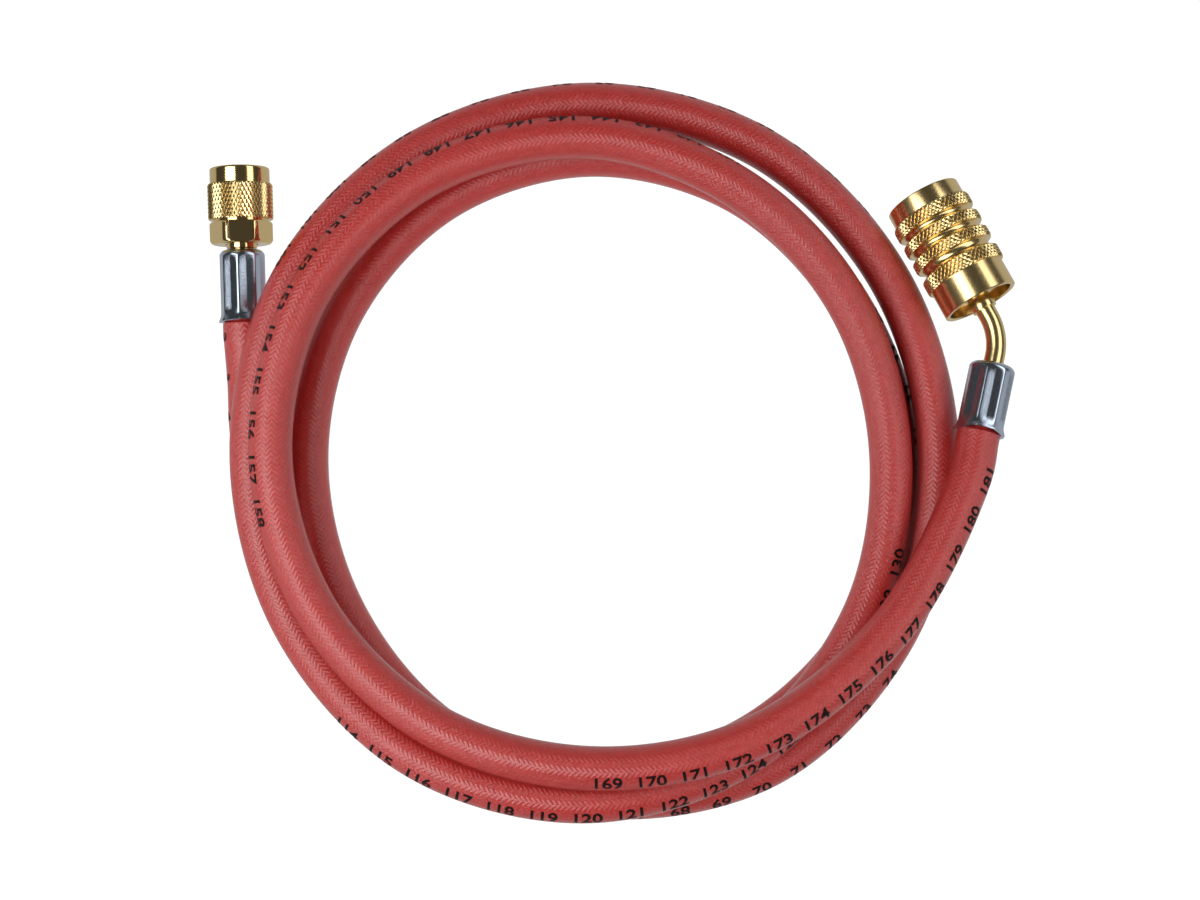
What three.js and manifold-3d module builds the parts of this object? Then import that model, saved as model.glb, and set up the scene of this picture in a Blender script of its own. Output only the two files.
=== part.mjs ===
// Refrigerant charging hose, lying coiled on a table as in the photo.
// Millimetres, +Z up. The table is z = 0 and the origin is on it, at the middle of the box
// round the whole hose. The hose starts in the straight nut end, on the left, and runs
// anticlockwise three and a half times round before it ends at the coupler on the right.

import * as THREE from "three";
import { mergeVertices } from "three/addons/utils/BufferGeometryUtils.js";
import Module from "manifold-3d";

const wasm = await Module();
wasm.setup();

// Hose
const hoseOuterDiameter = 10.5;
const hoseBoreDiameter = 4.8;
const hoseSides = 12;
const hoseBoreSides = 8;
const ringsPerStation = 2;

// Coil: radius and height of the hose's centreline every 30 degrees, chosen by hand
const coilCentre = [-4.44, -1.49];
const coilFirstAngle = 180;
const coilStationStep = 30;
const coilRadii = [
  84.4, 82.9, 82.4, 82.2, 81.9, 80.9, 77.9, 75.0, 74.9, 74.4, 73.1, 71.4,
  70.9, 72.5, 77.1, 84.5, 89.2, 87.8, 86.3, 86.6, 87.6, 87.4, 86.3, 84.6,
  83.1, 84.0, 84.7, 83.9, 82.2, 77.8, 73.9, 73.2, 74.4, 77.3, 78.5, 78.0,
  76.8, 76.1, 75.2, 74.9, 78.2, 83.8,
];
const coilHeights = [
  6.0, 5.3, 5.3, 5.3, 5.3, 5.3, 5.3, 5.3, 5.3, 5.3, 5.3, 5.3,
  5.8, 10.0, 15.8, 16.0, 13.5, 13.7, 12.2, 6.8, 5.5, 5.7, 9.0, 15.6,
  17.3, 17.6, 24.8, 27.4, 22.8, 18.4, 16.2, 16.2, 16.4, 16.1, 18.4, 24.6,
  26.8, 25.8, 30.2, 34.3, 33.9, 28.4,
];
const hoseNearNutEnd = [-90.0, 17.0, 6.9];
const hoseNearCouplerEnd = [87.7, -8.0, 22.4];

// How the fittings lie: place of each ferrule's mouth, heading to the left of +Y, and rise
const nutEndMouth = [-90.84, 31.21, 8.1];
const nutEndHeading = 1.8;
const nutEndRise = 0;
const couplerEndMouth = [90.56, 3.91, 20.3];
const couplerEndHeading = -12.9;
const couplerEndRise = -6;
const couplerHeading = 26.8;
const couplerRise = -13;

// Clearance between neighbouring pieces
const fitGap = 0.3;

// Facets round the turned pieces, the tube and the small inner pieces, and how far a cut runs on
const turnSegments = 32;
const tubeSegments = 16;
const smallSegments = 12;
const cutMargin = 1;

// Ferrules, along their axis from the mouth
const nutFerruleLength = 17.8;
const couplerFerruleLength = 16.6;
const ferruleDiameter = 10.9;
const ferruleWall = 0.7;
const ferruleLipDiameter = 11.9;
const ferruleLipLength = 0.7;
const ferruleShoulderRadius = 1.9;
const ferruleFrontWall = 1.2;
const fluteCount = 8;
const fluteDepth = 0.3;
const hoseBulgeLength = 2.5;

// Brass stems
const stemTailStart = 2;
const stemTailDiameter = 3.4;
const barbDepth = 0.3;
const barbCount = 4;
const stemBore = 1.8;
const stemWaistDiameter = 5.4;
const neckDiameter = 7.6;
const headDiameter = 9.6;
const headLength = 3;

// Swivel nut, along its axis from the hex end
const neckVisibleLength = 1;
const nutHexAcrossFlats = 14;
const nutHexLength = 5.6;
const nutHexTurn = 8;
const nutHexBevel = 0.3;
const nutGrooveDiameter = 13.6;
const nutGrooveLength = 0.5;
const nutKnurlDiameter = 16.2;
const nutKnurlLength = 9;
const nutKnurlBevel = 0.3;
const nutCollarDiameter = 14.8;
const nutCollarLength = 4;
const nutCollarRound = 0.6;
const threadBore = 10.2;
const threadMouthDiameter = 11.8;
const threadMouthDepth = 0.8;

// Gaskets
const gasketThickness = 2;
const gasketHole = 4.6;

// Bent tube
const tubeDiameter = 4.9;
const tubeBore = 3;
const ferruleToBend = 7.5;
const bendToSleeve = 9.4;
const tubeBendRadius = 15;
const tubeCollarDiameter = 6.2;
const tubeCollarReach = 2.2;
const bendSteps = 8;

// Coupler sleeve, along its axis from the open rear end
const sleeveCollarDiameter = 18.9;
const sleeveRingDiameter = 20.6;
const sleeveRingBevel = 0.3;
const sleeveGrooveDiameter = 17.4;
const sleeveGrooveSlopeShare = 0.35;
const sleeveTipRound = 0.3;
const sleeveRearCollarLength = 7.3;
const sleeveRingLengths = [3.6, 2.8, 2.6, 3.2];
const sleeveGrooveLengths = [2.5, 2, 1.9];
const sleeveTipCollarLength = 4.3;
const sleeveRearHollowDiameter = 16.4;
const sleeveRearHollowDepth = 6.5;
const sleeveBore = 13.2;

// Coupler body, along the same axis
const bodyRearStart = 1.5;
const bodyStubDiameter = 9;
const bodyFlangeDiameter = 14.4;
const bodyFlangeStart = 3.8;
const bodyTipInset = 0.6;
const bodyTubeSocketDepth = 4.5;
const bodySocketDepth = 10.4;

// Core depressor in the coupler's socket
const spiderSpan = 4;
const spiderBarWidth = 1;
const spiderThickness = 0.8;
const pinDiameter = 1.4;
const pinLength = 4;

// Colours and finishes
const redRubber = { color: 0xb9453f, roughness: 0.5, metalness: 0 };
const blackRubber = { color: 0x1c1c1c, roughness: 0.7, metalness: 0 };
const brass = { color: 0xd8ab5e, roughness: 0.28, metalness: 1 };
const platedSteel = { color: 0xc4c8cf, roughness: 0.18, metalness: 1 };

// Worked-out sizes
const hoseRadius = hoseOuterDiameter / 2;
const ferruleInnerRadius = ferruleDiameter / 2 - ferruleWall;
const squeezedHoseRadius = ferruleInnerRadius - fitGap;
const hoseSqueeze = squeezedHoseRadius / hoseRadius;
const nutHoseDepth = nutFerruleLength - ferruleFrontWall - fitGap;
const couplerHoseDepth = couplerFerruleLength - ferruleFrontWall - fitGap;
const nutStart = nutFerruleLength + fitGap + neckVisibleLength;
const nutSocketFloor = nutStart + nutHexLength;
const nutLength = nutHexLength + nutGrooveLength + nutKnurlLength + nutCollarLength;
const sumOf = (lengths) => lengths.reduce((total, length) => total + length, 0);
const sleeveLength = sleeveRearCollarLength + sumOf(sleeveRingLengths)
  + sumOf(sleeveGrooveLengths) + sleeveTipCollarLength;
const bodyEnd = sleeveLength - bodyTipInset;
const bodySocketFloor = bodyEnd - bodySocketDepth;

// Shared geometry helpers

function asSolid(geometry) {
  const bare = geometry.clone();
  bare.deleteAttribute("normal");
  bare.deleteAttribute("uv");
  const merged = mergeVertices(bare, 1e-4);
  const mesh = new wasm.Mesh({
    numProp: 3,
    vertProperties: new Float32Array(merged.attributes.position.array),
    triVerts: new Uint32Array(merged.index.array),
  });
  return new wasm.Manifold(mesh);
}

function asGeometry(solid) {
  const mesh = solid.getMesh();
  const geometry = new THREE.BufferGeometry();
  geometry.setAttribute("position", new THREE.BufferAttribute(mesh.vertProperties, 3));
  geometry.setIndex(new THREE.BufferAttribute(mesh.triVerts, 1));
  geometry.computeVertexNormals();
  return geometry;
}

// A profile is a list of [radius, distance along the axis], walked with the material on its left
function turned(profile, segments = turnSegments) {
  const points = profile.map(([radius, along]) => new THREE.Vector2(radius, along));
  points.push(points[0].clone());
  return new THREE.LatheGeometry(points, segments);
}

// A quarter round from the side at [radius, along] over to the end face beyond it
function roundedShoulder(radius, along, size, steps) {
  const points = [];
  for (let i = 0; i <= steps; i += 1) {
    const angle = (i / steps) * (Math.PI / 2);
    points.push([radius - size + size * Math.cos(angle), along - size + size * Math.sin(angle)]);
  }
  return points;
}

function regularPolygon(radius, sides, firstAngle = 0) {
  const points = [];
  for (let i = 0; i < sides; i += 1) {
    const angle = firstAngle + (i / sides) * 2 * Math.PI;
    points.push(new THREE.Vector2(radius * Math.cos(angle), radius * Math.sin(angle)));
  }
  return points;
}

function mesh(name, geometry, finish) {
  const result = new THREE.Mesh(geometry, new THREE.MeshStandardMaterial(finish));
  result.name = name;
  return result;
}

// The direction in which a fitting points, from its heading and its rise
function direction(heading, rise) {
  const turn = THREE.MathUtils.degToRad(heading);
  const climb = THREE.MathUtils.degToRad(rise);
  return new THREE.Vector3(
    -Math.sin(turn) * Math.cos(climb),
    Math.cos(turn) * Math.cos(climb),
    Math.sin(climb),
  );
}

// A group whose own +Y axis starts at a place and points along a heading and a rise
function axisGroup(place, heading, rise) {
  const group = new THREE.Group();
  group.rotation.order = "ZXY";
  group.rotation.z = THREE.MathUtils.degToRad(heading);
  group.rotation.x = THREE.MathUtils.degToRad(rise);
  group.position.copy(place);
  return group;
}

// Where the ends of the hose lie

const nutEndAxis = direction(nutEndHeading, nutEndRise);
const nutEndPlace = new THREE.Vector3(...nutEndMouth);
const couplerEndAxis = direction(couplerEndHeading, couplerEndRise);
const couplerEndPlace = new THREE.Vector3(...couplerEndMouth);
const couplerAxis = direction(couplerHeading, couplerRise);
const bendCorner = couplerEndPlace.clone()
  .addScaledVector(couplerEndAxis, couplerFerruleLength + ferruleToBend);
const sleevePlace = bendCorner.clone().addScaledVector(couplerAxis, bendToSleeve);

// Hose

// The hose's centreline. Its rings are spaced by station, so that the turns' flats line up.
class HoseRoute extends THREE.CatmullRomCurve3 {
  getPointAt(share, target) {
    return this.getPoint(share, target);
  }

  getTangentAt(share, target) {
    return this.getTangent(share, target);
  }
}

function hosePoints() {
  const along = (place, axis, distance) => place.clone().addScaledVector(axis, distance);
  const coil = coilRadii.map((radius, i) => {
    const angle = THREE.MathUtils.degToRad(coilFirstAngle + i * coilStationStep);
    return new THREE.Vector3(
      coilCentre[0] + radius * Math.cos(angle),
      coilCentre[1] + radius * Math.sin(angle),
      coilHeights[i],
    );
  });
  return [
    along(nutEndPlace, nutEndAxis, nutHoseDepth),
    along(nutEndPlace, nutEndAxis, 0),
    along(nutEndPlace, nutEndAxis, -hoseBulgeLength),
    new THREE.Vector3(...hoseNearNutEnd),
    ...coil,
    new THREE.Vector3(...hoseNearCouplerEnd),
    along(couplerEndPlace, couplerEndAxis, -hoseBulgeLength),
    along(couplerEndPlace, couplerEndAxis, 0),
    along(couplerEndPlace, couplerEndAxis, couplerHoseDepth),
  ];
}

// Both ferrules squeeze the hose that they grip towards its own centreline
function squeezeHose(geometry) {
  const position = geometry.attributes.position;
  const point = new THREE.Vector3();
  const offset = new THREE.Vector3();
  const centre = new THREE.Vector3();
  const grips = [
    [nutEndPlace, nutEndAxis, nutFerruleLength],
    [couplerEndPlace, couplerEndAxis, couplerFerruleLength],
  ];
  const reach = hoseBulgeLength / 2;
  for (let i = 0; i < position.count; i += 1) {
    point.fromBufferAttribute(position, i);
    for (const [place, axis, length] of grips) {
      const along = offset.copy(point).sub(place).dot(axis);
      centre.copy(place).addScaledVector(axis, along);
      if (along > -reach && along < length && point.distanceTo(centre) < hoseOuterDiameter) {
        point.sub(centre).multiplyScalar(hoseSqueeze).add(centre);
        position.setXYZ(i, point.x, point.y, point.z);
      }
    }
  }
  return geometry;
}

function hose() {
  const points = hosePoints();
  const section = new THREE.Shape(regularPolygon(hoseRadius, hoseSides));
  section.holes.push(new THREE.Path(regularPolygon(hoseBoreDiameter / 2, hoseBoreSides)));
  const tube = new THREE.ExtrudeGeometry(section, {
    steps: (points.length - 1) * ringsPerStation,
    extrudePath: new HoseRoute(points, false, "centripetal"),
  });
  return mesh("hose", squeezeHose(tube), redRubber);
}

// Ferrules

// Presses shallow flutes into the gripping length of a turned ferrule
function pressFlutes(geometry, from, to) {
  const position = geometry.attributes.position;
  const innerLimit = ferruleDiameter / 2 - fluteDepth;
  for (let i = 0; i < position.count; i += 1) {
    const x = position.getX(i);
    const z = position.getZ(i);
    const along = position.getY(i);
    const radius = Math.hypot(x, z);
    if (radius > innerLimit && along > from && along < to) {
      const press = fluteDepth * (1 - Math.abs(Math.cos((fluteCount / 2) * Math.atan2(z, x))));
      const share = (radius - press) / radius;
      position.setX(i, x * share);
      position.setZ(i, z * share);
    }
  }
  return geometry;
}

function ferrule(name, length, holeRadius) {
  const radius = ferruleDiameter / 2;
  const lipRadius = ferruleLipDiameter / 2;
  const shoulderStart = length - ferruleShoulderRadius;
  const innerEnd = length - ferruleFrontWall;
  const shell = turned([
    [ferruleInnerRadius, 0],
    [lipRadius, 0],
    [lipRadius, ferruleLipLength],
    [radius, 2 * ferruleLipLength],
    [radius, 3 * ferruleLipLength],
    [radius, shoulderStart - ferruleLipLength],
    ...roundedShoulder(radius, length, ferruleShoulderRadius, 4),
    [holeRadius, length],
    [holeRadius, innerEnd],
    [ferruleInnerRadius, innerEnd],
  ]);
  pressFlutes(shell, 2.5 * ferruleLipLength, shoulderStart - ferruleLipLength / 2);
  return mesh(name, shell, platedSteel);
}

// Straight stem, swivel nut and gasket

// The barbed tail that the hose is pushed over, as the outside of a profile
function barbedTail(end) {
  const radius = stemTailDiameter / 2;
  const pitch = (end - stemTailStart) / barbCount;
  const points = [];
  for (let i = 0; i < barbCount; i += 1) {
    const start = stemTailStart + i * pitch;
    points.push([radius - barbDepth, start]);
    points.push([radius, start + pitch - barbDepth]);
  }
  points.push([radius - barbDepth, end]);
  return points;
}

function nutEndStem() {
  const boreRadius = stemBore / 2;
  const waistRadius = stemWaistDiameter / 2;
  const neckRadius = neckDiameter / 2;
  const headRadius = headDiameter / 2;
  const neckStart = nutFerruleLength + fitGap;
  const headStart = nutSocketFloor + fitGap;
  const headEnd = headStart + headLength;
  const stem = turned([
    [boreRadius, stemTailStart],
    ...barbedTail(nutHoseDepth),
    [waistRadius, nutHoseDepth + fitGap],
    [waistRadius, neckStart],
    [neckRadius, neckStart],
    [neckRadius, headStart],
    [headRadius, headStart],
    [headRadius, headEnd],
    [boreRadius, headEnd],
  ]);
  return mesh("nut_end_stem", stem, brass);
}

function hexPrism(acrossFlats, length, turn) {
  const cornerRadius = acrossFlats / 2 / Math.cos(Math.PI / 6);
  const outline = new THREE.Shape(regularPolygon(cornerRadius, 6, THREE.MathUtils.degToRad(turn)));
  const prism = new THREE.ExtrudeGeometry(outline, { depth: length, bevelEnabled: false });
  return prism.rotateX(-Math.PI / 2);
}

function swivelNut() {
  const grooveStart = nutHexLength;
  const knurlStart = grooveStart + nutGrooveLength;
  const knurlEnd = knurlStart + nutKnurlLength;
  const knurlRadius = nutKnurlDiameter / 2;
  const turnedCornerRadius = (nutHexAcrossFlats / 2) / Math.cos(Math.PI / 6) - nutHexBevel;
  const hex = asSolid(hexPrism(nutHexAcrossFlats, nutHexLength, nutHexTurn));
  const hexTurning = asSolid(turned([
    [0, 0],
    [turnedCornerRadius - nutHexBevel, 0],
    [turnedCornerRadius, 2 * nutHexBevel],
    [turnedCornerRadius, nutHexLength],
    [0, nutHexLength],
  ]));
  const barrel = asSolid(turned([
    [0, grooveStart - nutGrooveLength],
    [nutGrooveDiameter / 2, grooveStart - nutGrooveLength],
    [nutGrooveDiameter / 2, knurlStart],
    [knurlRadius - nutKnurlBevel, knurlStart],
    [knurlRadius, knurlStart + nutKnurlBevel],
    [knurlRadius, knurlEnd - nutKnurlBevel],
    [knurlRadius - nutKnurlBevel, knurlEnd],
    [nutCollarDiameter / 2, knurlEnd],
    ...roundedShoulder(nutCollarDiameter / 2, nutLength, nutCollarRound, 3),
    [0, nutLength],
  ]));
  const bore = asSolid(turned([
    [0, -cutMargin],
    [neckDiameter / 2 + fitGap, -cutMargin],
    [neckDiameter / 2 + fitGap, nutHexLength],
    [threadBore / 2, nutHexLength],
    [threadBore / 2, nutLength - threadMouthDepth],
    [threadMouthDiameter / 2, nutLength],
    [threadMouthDiameter / 2, nutLength + cutMargin],
    [0, nutLength + cutMargin],
  ]));
  const nut = hex.intersect(hexTurning).add(barrel).subtract(bore);
  const result = mesh("swivel_nut", asGeometry(nut), brass);
  result.position.y = nutStart;
  return result;
}

function gasket(name, start) {
  const outerRadius = threadBore / 2 - fitGap;
  const holeRadius = gasketHole / 2;
  const ring = turned([
    [holeRadius, start],
    [outerRadius, start],
    [outerRadius, start + gasketThickness],
    [holeRadius, start + gasketThickness],
  ]);
  return mesh(name, ring, blackRubber);
}

// Bent tube with its barbed tail

// Straight out of the ferrule, round the bend and straight into the coupler's body
function tubePath() {
  const bendAngle = couplerEndAxis.angleTo(couplerAxis);
  const tangentLength = tubeBendRadius * Math.tan(bendAngle / 2);
  const bendStart = bendCorner.clone().addScaledVector(couplerEndAxis, -tangentLength);
  const tubeEnd = sleevePlace.clone()
    .addScaledVector(couplerAxis, bodyRearStart + bodyTubeSocketDepth - fitGap);
  const tubeStart = couplerEndPlace.clone()
    .addScaledVector(couplerEndAxis, couplerHoseDepth + fitGap);
  const inward = couplerAxis.clone()
    .addScaledVector(couplerEndAxis, -couplerAxis.dot(couplerEndAxis)).normalize();
  const bendCentre = bendStart.clone().addScaledVector(inward, tubeBendRadius);
  const points = [tubeStart];
  for (let i = 0; i <= bendSteps; i += 1) {
    const angle = (i / bendSteps) * bendAngle;
    points.push(bendCentre.clone()
      .addScaledVector(inward, -tubeBendRadius * Math.cos(angle))
      .addScaledVector(couplerEndAxis, tubeBendRadius * Math.sin(angle)));
  }
  points.push(tubeEnd);
  return points;
}

// A polyline whose rings fall on its own points
class StationPath extends THREE.Curve {
  constructor(points) {
    super();
    this.points = points;
  }

  getPointAt(share, target = new THREE.Vector3()) {
    const index = Math.round(share * (this.points.length - 1));
    return target.copy(this.points[index]);
  }

  getTangentAt(share, target = new THREE.Vector3()) {
    const last = this.points.length - 1;
    const index = Math.round(share * last);
    const before = this.points[Math.max(index - 1, 0)];
    const after = this.points[Math.min(index + 1, last)];
    const here = this.points[index];
    const incoming = here.clone().sub(before).normalize();
    const outgoing = after.clone().sub(here).normalize();
    return target.copy(incoming).add(outgoing).normalize();
  }

  getSpacedPoints(divisions) {
    return this.points.slice(0, divisions + 1).map((point) => point.clone());
  }
}

function bentStem() {
  const points = tubePath();
  const section = new THREE.Shape(regularPolygon(tubeDiameter / 2, tubeSegments));
  section.holes.push(new THREE.Path(regularPolygon(tubeBore / 2, smallSegments)));
  const tube = asSolid(new THREE.ExtrudeGeometry(section, {
    steps: points.length - 1,
    extrudePath: new StationPath(points),
  }));
  const tailEnd = couplerHoseDepth + 2 * fitGap + ferruleFrontWall / 2;
  const tail = turned([
    [stemBore / 2, stemTailStart],
    ...barbedTail(couplerHoseDepth),
    [stemTailDiameter / 2, couplerHoseDepth + fitGap / 2],
    [stemTailDiameter / 2, tailEnd],
    [stemBore / 2, tailEnd],
  ], tubeSegments);
  const holder = axisGroup(couplerEndPlace, couplerEndHeading, couplerEndRise);
  holder.updateMatrixWorld();
  tail.applyMatrix4(holder.matrixWorld);
  const wallMiddle = (tubeDiameter + tubeBore) / 4;
  const collarEnd = bodyRearStart - fitGap;
  const collar = turned([
    [wallMiddle, -tubeCollarReach],
    [tubeCollarDiameter / 2, -tubeCollarReach],
    [tubeCollarDiameter / 2, collarEnd],
    [wallMiddle, collarEnd],
  ]);
  const sleeveHolder = axisGroup(sleevePlace, couplerHeading, couplerRise);
  sleeveHolder.updateMatrixWorld();
  collar.applyMatrix4(sleeveHolder.matrixWorld);
  const stem = tube.add(asSolid(tail)).add(asSolid(collar));
  return mesh("bent_stem", asGeometry(stem), brass);
}

// Coupler

function sleeveOutside() {
  const collarRadius = sleeveCollarDiameter / 2;
  const ringRadius = sleeveRingDiameter / 2;
  const grooveRadius = sleeveGrooveDiameter / 2;
  const points = [[collarRadius, 0], [collarRadius, sleeveRearCollarLength]];
  let along = sleeveRearCollarLength;
  sleeveRingLengths.forEach((ringLength, i) => {
    points.push([ringRadius - sleeveRingBevel, along]);
    points.push([ringRadius, along + sleeveRingBevel]);
    points.push([ringRadius, along + ringLength - sleeveRingBevel]);
    points.push([ringRadius - sleeveRingBevel, along + ringLength]);
    along += ringLength;
    if (i < sleeveGrooveLengths.length) {
      const grooveLength = sleeveGrooveLengths[i];
      const sideRadius = (collarRadius + grooveRadius) / 2;
      points.push([sideRadius, along]);
      points.push([grooveRadius, along + grooveLength * sleeveGrooveSlopeShare]);
      points.push([grooveRadius, along + grooveLength * (1 - sleeveGrooveSlopeShare)]);
      points.push([sideRadius, along + grooveLength]);
      along += grooveLength;
    }
  });
  points.push([collarRadius, along]);
  points.push(...roundedShoulder(collarRadius, sleeveLength, sleeveTipRound, 3));
  return points;
}

function couplerSleeve() {
  const boreRadius = sleeveBore / 2;
  const hollowRadius = sleeveRearHollowDiameter / 2;
  const sleeve = turned([
    [hollowRadius, 0],
    ...sleeveOutside(),
    [boreRadius, sleeveLength],
    [boreRadius, sleeveRearHollowDepth],
    [hollowRadius, sleeveRearHollowDepth],
  ]);
  return mesh("coupler_sleeve", sleeve, brass);
}

function couplerBody() {
  const tubeSocketRadius = tubeDiameter / 2 + fitGap;
  const tubeSocketFloor = bodyRearStart + bodyTubeSocketDepth;
  const mainRadius = sleeveBore / 2 - fitGap;
  const flangeEnd = sleeveRearHollowDepth - fitGap;
  const body = turned([
    [tubeSocketRadius, bodyRearStart],
    [bodyStubDiameter / 2, bodyRearStart],
    [bodyStubDiameter / 2, bodyFlangeStart],
    [bodyFlangeDiameter / 2, bodyFlangeStart],
    [bodyFlangeDiameter / 2, flangeEnd],
    [mainRadius, flangeEnd],
    [mainRadius, bodyEnd],
    [threadMouthDiameter / 2 - fitGap, bodyEnd],
    [threadBore / 2, bodyEnd - threadMouthDepth],
    [threadBore / 2, bodySocketFloor],
    [tubeBore / 2, bodySocketFloor],
    [tubeBore / 2, tubeSocketFloor],
    [tubeSocketRadius, tubeSocketFloor],
  ]);
  return mesh("coupler_body", body, brass);
}

function coreDepressor() {
  const half = spiderSpan / 2;
  const edge = spiderBarWidth / 2;
  const outline = new THREE.Shape([
    [half, -edge], [half, edge], [edge, edge], [edge, half], [-edge, half], [-edge, edge],
    [-half, edge], [-half, -edge], [-edge, -edge], [-edge, -half], [edge, -half], [edge, -edge],
  ].map(([x, y]) => new THREE.Vector2(x, y)));
  const spider = new THREE.ExtrudeGeometry(outline, { depth: spiderThickness, bevelEnabled: false });
  spider.rotateX(-Math.PI / 2);
  const pin = turned([[0, 0], [pinDiameter / 2, 0], [pinDiameter / 2, pinLength], [0, pinLength]], smallSegments);
  const result = mesh("core_depressor", asGeometry(asSolid(spider).add(asSolid(pin))), brass);
  result.position.y = bodySocketFloor + fitGap;
  return result;
}

// Assembly

const nutEnd = axisGroup(nutEndPlace, nutEndHeading, nutEndRise);
nutEnd.add(
  ferrule("nut_end_ferrule", nutFerruleLength, stemWaistDiameter / 2 + fitGap),
  nutEndStem(),
  swivelNut(),
  gasket("nut_gasket", nutSocketFloor + headLength + 2 * fitGap),
);

const couplerEnd = axisGroup(couplerEndPlace, couplerEndHeading, couplerEndRise);
couplerEnd.add(ferrule("coupler_end_ferrule", couplerFerruleLength, tubeDiameter / 2 + fitGap));

const coupler = axisGroup(sleevePlace, couplerHeading, couplerRise);
coupler.add(
  couplerSleeve(),
  couplerBody(),
  gasket("coupler_gasket", bodySocketFloor + fitGap),
  coreDepressor(),
);

const chargingHose = new THREE.Group();
chargingHose.add(hose(), nutEnd, couplerEnd, bentStem(), coupler);

export default chargingHose;
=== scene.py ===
import math

import bmesh
import bpy
from mathutils import Matrix, Vector


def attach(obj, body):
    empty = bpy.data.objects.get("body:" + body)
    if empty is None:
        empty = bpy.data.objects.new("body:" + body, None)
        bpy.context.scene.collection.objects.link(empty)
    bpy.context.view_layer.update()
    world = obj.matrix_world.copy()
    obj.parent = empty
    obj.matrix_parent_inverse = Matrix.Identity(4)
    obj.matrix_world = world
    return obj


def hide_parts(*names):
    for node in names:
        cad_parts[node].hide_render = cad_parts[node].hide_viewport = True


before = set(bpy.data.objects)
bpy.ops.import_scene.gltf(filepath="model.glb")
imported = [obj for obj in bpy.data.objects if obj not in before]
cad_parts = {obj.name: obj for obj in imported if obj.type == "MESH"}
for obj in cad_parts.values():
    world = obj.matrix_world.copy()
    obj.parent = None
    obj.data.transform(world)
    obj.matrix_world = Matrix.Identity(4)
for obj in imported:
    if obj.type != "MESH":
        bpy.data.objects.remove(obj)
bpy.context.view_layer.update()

MM = 0.001

# Hose, in metres, with the same route as the CAD solid
HOSE_DIAMETER = 10.5 * MM
HOSE_RADIUS = HOSE_DIAMETER / 2
HOSE_SIDES = 40
STEPS_PER_STATION = 22
COIL_CENTRE = (-4.44 * MM, -1.49 * MM)
COIL_FIRST_ANGLE = 180
COIL_STATION_STEP = 30
COIL_RADII_MM = [
    84.4, 82.9, 82.4, 82.2, 81.9, 80.9, 77.9, 75.0, 74.9, 74.4, 73.1, 71.4,
    70.9, 72.5, 77.1, 84.5, 89.2, 87.8, 86.3, 86.6, 87.6, 87.4, 86.3, 84.6,
    83.1, 84.0, 84.7, 83.9, 82.2, 77.8, 73.9, 73.2, 74.4, 77.3, 78.5, 78.0,
    76.8, 76.1, 75.2, 74.9, 78.2, 83.8,
]
COIL_HEIGHTS_MM = [
    6.0, 5.3, 5.3, 5.3, 5.3, 5.3, 5.3, 5.3, 5.3, 5.3, 5.3, 5.3,
    5.8, 10.0, 15.8, 16.0, 13.5, 13.7, 12.2, 6.8, 5.5, 5.7, 9.0, 15.6,
    17.3, 17.6, 24.8, 27.4, 22.8, 18.4, 16.2, 16.2, 16.4, 16.1, 18.4, 24.6,
    26.8, 25.8, 30.2, 34.3, 33.9, 28.4,
]
HOSE_NEAR_NUT_END = Vector((-90.0, 17.0, 6.9)) * MM
HOSE_NEAR_COUPLER_END = Vector((87.7, -8.0, 22.4)) * MM

# How the fittings lie: place of each ferrule's mouth, heading to the left of +Y, and rise
NUT_END_PLACE = Vector((-90.84, 31.21, 8.1)) * MM
NUT_END_HEADING = 1.8
NUT_END_RISE = 0
COUPLER_END_PLACE = Vector((90.56, 3.91, 20.3)) * MM
COUPLER_END_HEADING = -12.9
COUPLER_END_RISE = -6
COUPLER_HEADING = 26.8
COUPLER_RISE = -13

# Fittings, in millimetres along and across their own axes
FIT_GAP = 0.3
NUT_FERRULE_LENGTH = 17.8
COUPLER_FERRULE_LENGTH = 16.6
FERRULE_RADIUS = 5.7
FERRULE_INNER_RADIUS = 4.75
FERRULE_LIP_RADIUS = 6.0
FERRULE_LIP_LENGTH = 0.7
FERRULE_SHOULDER = 1.9
FERRULE_FRONT_WALL = 1.2
FERRULE_SIDES = 384
FERRULE_STEPS = 14
FLUTES = 8
FERRULE_LIP_EARS = 0.3
FLUTE_DEPTH = 0.5
FLUTE_RIDGE_SOFTNESS = 0.12
NUT_END_FLUTE_TURN = -2.5
COUPLER_END_FLUTE_TURN = 23
FLUTE_START = 1.5
FLUTE_START_FADE = 0.5
FLUTE_END_REACH = 0.6
FLUTE_END_FADE = 0.8
FERRULE_LIP_SPREAD = 2.5
FERRULE_LIP_LIFT = 0.2
NUT_END_LIP_SAG = 0.2
COUPLER_END_LIP_SAG = 0.9
BULGE_LENGTH = 2.5
SQUEEZE_LENGTH = 0.7
STEM_WAIST_RADIUS = 2.7
NECK_RADIUS = 3.8
HEAD_RADIUS = 4.8
HEAD_LENGTH = 3.0
STEM_BORE_RADIUS = 0.9
NECK_VISIBLE = 1.0
NUT_HEX_FLAT_RADIUS = 7.0
NUT_HEX_LENGTH = 5.6
NUT_HEX_TURN = 8
NUT_HEX_BEVEL = 0.3
NUT_HEX_SIDES = 360
NUT_GROOVE_RADIUS = 6.8
NUT_GROOVE_LENGTH = 0.5
NUT_KNURL_RADIUS = 8.1
NUT_KNURL_LENGTH = 9.0
NUT_KNURLS_AROUND = 48
NUT_KNURL_ROW = 2.05
NUT_KNURL_DEPTH = 0.26
NUT_COLLAR_RADIUS = 7.4
NUT_COLLAR_LENGTH = 4.0
NUT_COLLAR_ROUND = 0.6
THREAD_CREST_RADIUS = 5.1
THREAD_ROOT_RADIUS = 5.55
THREAD_PITCH = 1.27
THREAD_MOUTH_RADIUS = 5.9
THREAD_MOUTH_DEPTH = 0.8
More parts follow.
